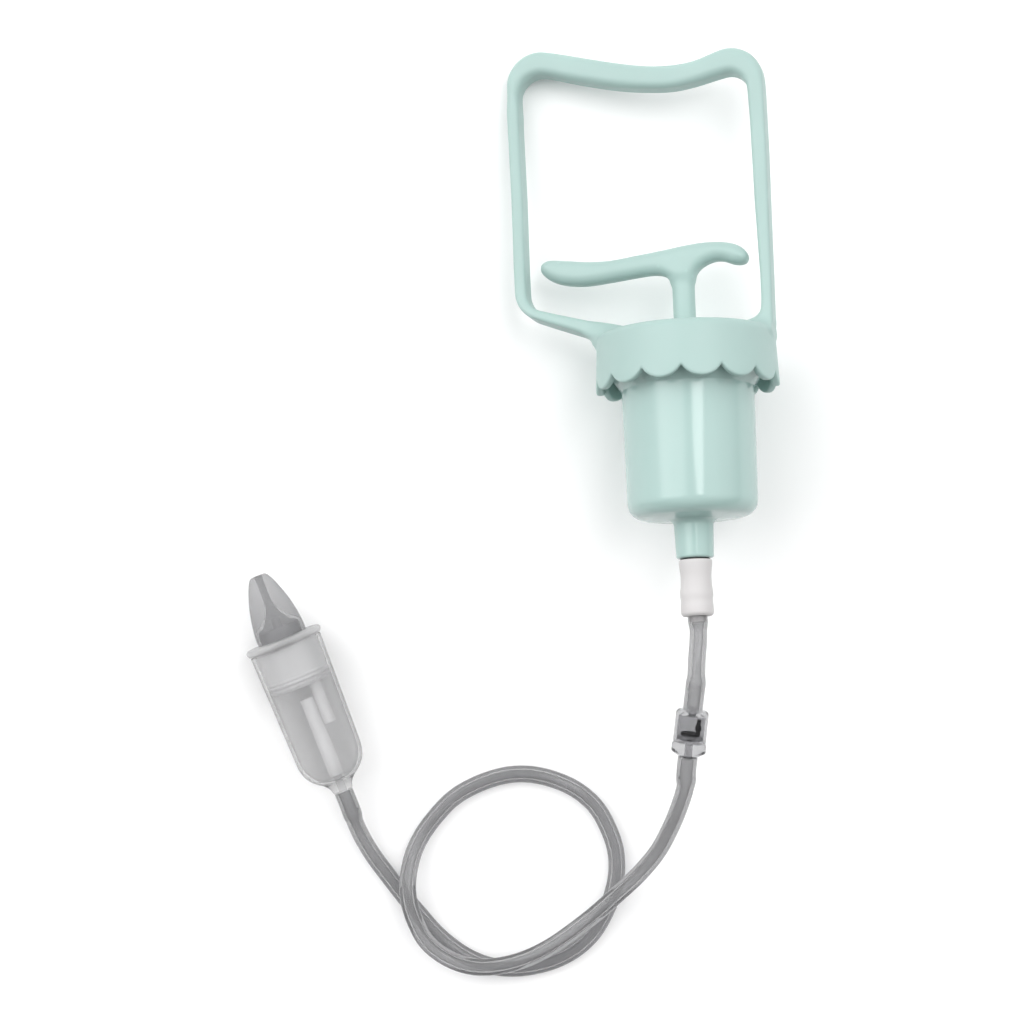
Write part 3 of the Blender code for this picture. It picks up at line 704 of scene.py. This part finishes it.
def handle_field(x, y, z):
    """Collar with its scalloped skirt, and the loop grown out of it."""
    r = np.hypot(x, z)
    a = r - (COLLAR_TOP_R - COLLAR_ROUND) + COLLAR_TAPER * y
    b = y + COLLAR_ROUND
    cap = (np.hypot(np.maximum(a, 0.0), np.maximum(b, 0.0))
           + np.minimum(np.maximum(a, b), 0.0) - COLLAR_ROUND)
    pitch = math.tau / SCALLOPS
    half_chord = COLLAR_R * math.sin(pitch / 2.0)
    lobe_r = (half_chord ** 2 + SCALLOP_DEEP ** 2) / (2.0 * SCALLOP_DEEP)
    angle = np.arctan2(z, x) - math.radians(SCALLOP_TURN)
    across = ((angle / pitch) % 1.0 - 0.5) * 2.0 * half_chord
    lobe = np.hypot(across, y - (CUSP_Y + lobe_r - SCALLOP_DEEP)) - lobe_r
    skirt = smooth_min(CUSP_Y + 0.5 - y, lobe, 1.3)
    body = smooth_max(cap, skirt, COLLAR_BLEND)
    edge = 1.35 + 1.5 * ramp(y, 82.0, 90.0)
    half = LOOP_HALF + ARM_DEEPER * ramp(20.0 - y, 0.0, 16.0) * ramp(10.0 - x, 0.0, 30.0)
    loop = slab(polygon_distance(x, y, loop_outline), z, half, edge)
    loop = np.maximum(loop, r - COLLAR_TOP_R - 40.0 * ramp(y, -3.0, 4.0))
    fillet = FILLET_LOW + (LOOP_FILLET - FILLET_LOW) * ramp(y, -8.0, -1.0)
    fillet = fillet + ARM_FILLET_MORE * ramp(-x, 10.0, 24.0) * ramp(y, -2.0, 1.5)
    body = smooth_min(body, loop, fillet)
    outer_side = (COLLAR_TOP_R + 0.15 + COLLAR_TAPER * np.maximum(-y, 0.0)
                  + 0.2 * np.maximum(y, 0.0))
    body = smooth_max(body, x - outer_side, 0.3)
    hollow = smooth_max(r - (COLLAR_R - COLLAR_WALL), y + COLLAR_TOP, 1.0)
    body = smooth_max(body, -hollow, 0.8)
    hole = np.maximum(r - ROD_HOLE_R, y - 1.5)
    return smooth_max(body, -hole, 0.6)


handle_step = 0.5
placed("squeeze_handle", skin_of("squeeze_handle", handle_field, (-61.0, -22.0, -33.0),
                                 (33.0, 105.5, 33.0), handle_step),
       PUMP, mint_satin, "pump_and_hose", "mint_satin", "handle_frame")


# =========================== plunger ================================================
ROD_R = 3.85
ROD_LOW_Y = -50.4
GRIP_HALF, GRIP_ROUND = 4.6, 3.4
SCREW_R, SCREW_DEEP = 1.8, 13.0

grip_points = [(-47.3, 29.2), (-41.0, 28.7), (-32.6, 27.6), (-25.0, 27.4), (-16.0, 28.3)]
grip_points += [(-6.0, 29.4), (2.7, 30.5), (9.2, 30.8), (15.6, 30.2), (19.6, 28.9)]
grip_points += [(22.2, 26.8), (23.0, 24.8), (22.2, 23.0), (20.4, 22.4), (17.6, 22.8)]
grip_points += [(14.6, 24.0), (11.6, 24.3), (8.6, 23.5), (6.0, 21.9), (4.3, 19.9)]
grip_points += [(3.5, 18.0), (-3.4, 17.6), (-4.6, 19.2), (-6.8, 20.7), (-10.6, 21.3)]
grip_points += [(-17.0, 20.9), (-25.5, 20.1), (-33.0, 19.6), (-38.5, 19.9), (-43.4, 21.0)]
grip_points += [(-47.3, 22.9), (-49.6, 25.4), (-49.5, 27.8)]
grip_outline = curve_through(grip_points, 4, closed=True)


def plunger_field(x, y, z):
    """Soft finger bar with the rod blended into it."""
    root = ramp(21.5 - y, 0.0, 4.0) * ramp(10.0 - np.abs(x), 0.0, 4.0)
    bar = slab(polygon_distance(x, y, grip_outline), z, GRIP_HALF - 0.9 * root,
               GRIP_ROUND)
    r = np.hypot(x, z)
    rod = np.maximum(r - ROD_R, y - 25.0)
    body = smooth_min(bar, rod, 2.4)
    body = smooth_max(body, ROD_LOW_Y - y, 0.6)
    screw_hole = np.maximum(r - SCREW_R, y - (ROD_LOW_Y + SCREW_DEEP))
    return np.maximum(body, -screw_hole)


placed("finger_bar_and_rod", skin_of("finger_bar_and_rod", plunger_field,
                                     (-51.5, -52.0, -6.0), (25.0, 33.0, 6.0),
                                     0.42),
       PUMP, mint_satin, "plunger", "mint_satin", "plunger")


# =========================== barrel and connector ===================================
BARREL_BASE_Y = -63.3
NOZZLE_END_Y = -77.6

barrel_profile = rounded([
    (20.8, -4.6, 0.3), (28.2, -4.6, 0.6), (28.2, -13.2, 1.2), (25.2, -16.3, 4.0),
    (22.75, -19.6, 1.0), (22.2, BARREL_BASE_Y, 5.4), (6.8, BARREL_BASE_Y - 1.2, 2.2),
    (6.4, NOZZLE_END_Y, 0.9), (2.7, NOZZLE_END_Y, 0.3), (2.7, BARREL_BASE_Y + 2.0, 0.3),
    (20.8, BARREL_BASE_Y + 2.0, 2.4),
], 8)
placed("pump_cylinder", turned_mesh("pump_cylinder", barrel_profile, 192), PUMP,
       mint_gloss, "pump_and_hose", "mint_gloss", "pump_barrel")

CONNECTOR_TOP_Y = NOZZLE_END_Y - 1.2
WASHER_R = 5.2
connector_waves = [
    (5.5, -0.65), (5.66, 0.2), (5.5, 2.4), (5.26, 4.8), (5.36, 8.2), (5.62, 11.0),
    (5.42, 13.2), (5.6, 16.0),
]
connector_side = curve_through([(r, CONNECTOR_TOP_Y - down) for r, down in connector_waves]
                               + [(5.45, CONNECTOR_END_Y + 0.7), (4.8, CONNECTOR_END_Y)], 5)
connector_profile = [(1.3, NOZZLE_END_Y + 7.0), (2.35, NOZZLE_END_Y + 7.0)]
connector_profile += [(2.4, CONNECTOR_TOP_Y), (WASHER_R + 0.1, CONNECTOR_TOP_Y)]
connector_profile += [(WASHER_R + 0.15, CONNECTOR_TOP_Y + 0.6)]
connector_profile += [tuple(p) for p in connector_side]
connector_profile += [(3.5, CONNECTOR_END_Y - 0.05), (2.3, CONNECTOR_END_Y - 0.1)]
connector_profile += [(2.28, CONNECTOR_END_Y - 1.9), (2.05, CONNECTOR_END_Y - 2.3)]
connector_profile += [(1.3, CONNECTOR_END_Y - 2.35)]
placed("hose_fitting", turned_mesh("hose_fitting", connector_profile, 96), PUMP,
       white_plastic, "pump_and_hose", "white_plastic", "hose_connector")


# =========================== check valve ============================================
body_profile = rounded([
    (1.25, 8.6, 0.1), (1.75, 8.6, 0.2), (2.2, 7.0, 0.2), (1.95, 6.4, 0.2), (1.95, 0.2, 0.3),
    (5.5, 0.0, 1.2), (5.6, -10.7, 0.2), (4.6, -10.7, 0.1), (4.5, -1.5, 0.5),
    (1.25, -1.4, 0.2),
], 4)
placed("valve_housing", turned_mesh("valve_housing", body_profile, 96), VALVE,
       clear_plastic, "pump_and_hose", "clear_grey", "valve_body")
cap_profile = rounded([
    (1.25, -11.0, 0.1), (5.5, -11.0, 0.3), (5.85, -11.9, 0.4), (5.85, -14.2, 0.6),
    (3.2, VALVE_END_Y, 0.6), (1.95, VALVE_END_Y, 0.2), (1.95, -22.6, 0.2), (2.2, -23.2, 0.2),
    (1.75, -24.6, 0.2), (1.25, -24.6, 0.1),
], 4)
placed("valve_end_cap", turned_mesh("valve_end_cap", cap_profile, 96), VALVE,
       clear_plastic, "pump_and_hose", "clear_grey", "valve_cap")

placed("valve_seat_ring", turned_mesh("valve_seat_ring", rounded([
    (1.1, -8.7, 0.2), (4.3, -8.7, 0.2), (4.3, -9.9, 0.2), (1.1, -9.9, 0.2),
], 3), 64), VALVE, clear_plastic, "pump_and_hose", "clear_grey", "valve_seat")


def disc_field(x, y, z):
    """Thin rubber disc with its stem to one side."""
    r = np.hypot(x, z)
    disc = smooth_max(r - 3.3, np.abs(y + 8.0) - 0.42, 0.3)
    stem_r = np.hypot(x - 2.5, z)
    width = 0.72 + 0.35 * ramp(y, -6.9, -6.4) * (1.0 - ramp(y, -5.3, -4.8))
    stem = smooth_max(stem_r - width, np.abs(y + 5.4) - 2.5, 0.4)
    return smooth_min(disc, stem, 0.5)


placed("valve_flap", skin_of("valve_flap", disc_field, (-4.0, -9.2, -4.0),
                             (4.0, -2.2, 4.0), 0.14),
       VALVE, black_rubber, "valve_disc", "black_rubber", "valve_disc")


# =========================== cup, stopper and nose tip ==============================
cup_outside = curve_through([
    (12.0, -42.0), (11.8, -44.8), (11.15, -47.3), (9.8, -49.8), (7.7, -51.9), (5.6, -53.5),
    (4.2, -55.2), (3.5, CUP_END_Y),
], 6)
PIPE_FOOT_Y = -51.2
cup_inside = curve_through([
    (2.6, PIPE_FOOT_Y), (4.6, -52.1), (7.4, -50.4), (9.6, -47.4), (10.5, -44.6), (10.75, -42.0),
], 5)
cup_profile = [(11.7, -2.5), (11.9, -2.3), (12.75, -2.3), (12.95, -2.5)]
cup_profile += [tuple(p) for p in cup_outside]
cup_profile += [(2.2, CUP_END_Y - 0.1), (1.95, CUP_END_Y - 0.4), (1.95, CUP_END_Y - 6.8)]
cup_profile += [(2.25, CUP_END_Y - 7.4), (1.8, CUP_END_Y - 9.0), (1.3, CUP_END_Y - 9.0)]
cup_profile += [(1.3, PIPE_FOOT_Y)]
cup_profile += [tuple(p) for p in cup_inside]
placed("collecting_cup", turned_mesh("collecting_cup", cup_profile, 128), CUP,
       cup_plastic, "pump_and_hose", "cup_plastic", "collection_cup")
placed("cup_standpipe", turned_mesh("cup_standpipe", rounded([
    (1.3, -22.4, 0.1), (2.45, -22.4, 0.2), (2.55, PIPE_FOOT_Y + 0.1, 0.1),
    (1.3, PIPE_FOOT_Y + 0.1, 0.1),
], 3), 48), CUP, pipe_plastic, "pump_and_hose", "cup_plastic")

stopper_profile = rounded([
    (0.9, 8.2, 0.1), (1.7, 8.2, 0.4), (1.9, 0.0, 0.5), (6.4, 0.0, 0.2), (6.4, 4.6, 0.2),
    (7.1, 4.6, 0.3),
    (7.2, 0.35, 0.4), (13.2, 0.35, 0.3), (13.83, -0.3, 0.4), (13.75, -1.2, 0.4),
    (13.2, -2.0, 0.3), (11.4, -2.0, 0.2), (11.1, -12.9, 0.2), (11.4, -13.6, 0.25),
    (10.95, -14.3, 0.2), (11.3, -15.0, 0.25), (10.85, -15.7, 0.2), (11.15, -16.4, 0.25),
    (10.6, -17.5, 0.3), (9.6, -17.5, 0.3), (9.9, -4.2, 1.0), (0.9, -4.2, 0.2),
], 4)
placed("cup_stopper_plug", turned_mesh("cup_stopper_plug", stopper_profile, 128), CUP,
       stopper_plastic, "stopper", "stopper_plastic", "cup_stopper")
placed("drip_pipe", turned_mesh("drip_pipe", rounded([
    (1.25, -1.8, 0.1), (2.1, -1.8, 0.1), (2.1, -33.0, 0.25), (1.25, -33.0, 0.25),
], 3), 48, off=(5.0, 0.0)), CUP, pipe_plastic, "stopper", "stopper_plastic", "drip_tube")

tip_outside = curve_through([
    (8.8, 0.6), (8.9, 2.4), (8.6, 6.0), (7.95, 10.0), (7.0, 14.0), (5.7, 18.0), (4.6, 20.8),
    (3.5, 22.9), (2.4, 23.8), (1.6, 23.6),
], 5)
tip_inside = curve_through([
    (1.25, 22.9), (1.2, 19.0), (1.3, 14.5), (1.8, 11.4), (3.2, 8.8), (5.2, 6.8), (6.9, 5.4),
    (7.4, 4.4), (7.5, 0.6),
], 5)
tip_profile = [tuple(p) for p in tip_outside] + [tuple(p) for p in tip_inside]
placed("soft_nose_tip", turned_mesh("soft_nose_tip", tip_profile, 128, 50.0), CUP,
       smoke_silicone, "nose_tip", "smoke_silicone", "nose_tip")


# =========================== pieces inside the pump =================================
SPRING_LOW, SPRING_HIGH, SPRING_TURNS = -49.75, -6.35, 8.0
SPRING_R, WIRE_R = 8.5, 0.6
DEAD_PITCH = 2.1 * WIRE_R    # rise of each closed end turn

turn_share = np.linspace(0.0, 1.0, 420)
dead = 1.0 / SPRING_TURNS
rise = np.clip((turn_share - dead) / (1.0 - 2.0 * dead), 0.0, 1.0)
lift = rise * (SPRING_HIGH - SPRING_LOW - 2.0 * DEAD_PITCH)
lift += DEAD_PITCH * np.minimum(turn_share / dead, 1.0)
lift += DEAD_PITCH * np.maximum((turn_share - 1.0 + dead) / dead, 0.0)
spring_turn = math.tau * SPRING_TURNS * turn_share
spring_path = np.stack([
    SPRING_R * np.cos(spring_turn), SPRING_LOW + lift, SPRING_R * np.sin(spring_turn),
], axis=1)
wire = np.full(len(spring_path), WIRE_R)
spring = placed("coil_spring", tube_mesh("coil_spring", spring_path, wire, wire * 0.05, 14),
                PUMP, steel, "pump_and_hose", "steel", "return_spring")
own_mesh(spring)

for node, mat in {
    "rod_guide_bush": acetal, "spring_washer": steel, "collar_gasket": pale_rubber,
    "piston_head": acetal, "piston_seal": black_rubber, "piston_screw": steel,
    "exhaust_flap": black_rubber, "nozzle_washer": black_rubber,
}.items():
    NODES[node].data.materials.clear()
    NODES[node].data.materials.append(mat)


# =========================== floor and light ========================================
floor_mesh = bpy.data.meshes.new("floor")
floor_bm = bmesh.new()
bmesh.ops.create_grid(floor_bm, x_segments=2, y_segments=2, size=3.0)
floor_bm.to_mesh(floor_mesh)
floor_bm.free()
floor = bpy.data.objects.new("floor", floor_mesh)
bpy.context.scene.collection.objects.link(floor)
paper = surface("pale_paper", (0.96, 0.96, 0.96), 0.8, 0.03, 0.005, 3.0, 600.0, 0.00001, 0.1)
floor_mesh.materials.append(paper)

world = bpy.data.worlds.new("studio")
bpy.context.scene.world = world
world.use_nodes = True
sky = world.node_tree
background = sky.nodes["Background"]
coords = new_node(sky, "ShaderNodeTexCoord")


def glow(direction, inner, outer, strength):
    """Light from round a direction, full within inner degrees and none past outer."""
    dot = new_node(sky, "ShaderNodeVectorMath", operation="DOT_PRODUCT")
    sky.links.new(coords.outputs["Generated"], dot.inputs[0])
    dot.inputs[1].default_value = Vector(direction).normalized()
    node = new_node(sky, "ShaderNodeMapRange", interpolation_type="SMOOTHSTEP")
    node.inputs["From Min"].default_value = math.cos(math.radians(outer))
    node.inputs["From Max"].default_value = math.cos(math.radians(inner))
    node.inputs["To Min"].default_value = 0.0
    node.inputs["To Max"].default_value = strength
    sky.links.new(dot.outputs["Value"], node.inputs["Value"])
    return node.outputs["Result"]


def added(first, second):
    node = new_node(sky, "ShaderNodeMath", operation="ADD")
    sky.links.new(first, node.inputs[0])
    sky.links.new(second, node.inputs[1])
    return node.outputs["Value"]


fill = new_node(sky, "ShaderNodeValue")
fill.outputs[0].default_value = 0.05
light = added(fill.outputs[0], glow((0.0, 0.35, 1.0), 20.0, 85.0, 0.74))
light = added(light, glow((-0.72, 0.35, 0.9), 17.0, 31.0, 2.1))
light = added(light, glow((-1.0, 0.3, 0.3), 10.0, 48.0, 1.0))
light = added(light, glow((0.85, 0.4, 0.75), 12.0, 55.0, 0.9))
sky.links.new(light, background.inputs["Strength"])
background.inputs["Color"].default_value = (1.0, 1.0, 1.0, 1.0)


def softbox(name, at, aim, size, power):
    data = bpy.data.lights.new(name, "AREA")
    data.shape = "RECTANGLE"
    data.size, data.size_y = size
    data.energy = power
    lamp = bpy.data.objects.new(name, data)
    bpy.context.scene.collection.objects.link(lamp)
    lamp.location = at
    lamp.rotation_mode = "QUATERNION"
    lamp.rotation_quaternion = (Vector(aim) - Vector(at)).to_track_quat("-Z", "Y")
    lamp.visible_camera = False
    return lamp


softbox("strip_light", (0.42, 0.42, 1.35), (0.06, 0.0, 0.03), (0.34, 0.8), 4.2)

scene = bpy.context.scene
scene.view_settings.view_transform = "Standard"
scene.view_settings.look = "None"
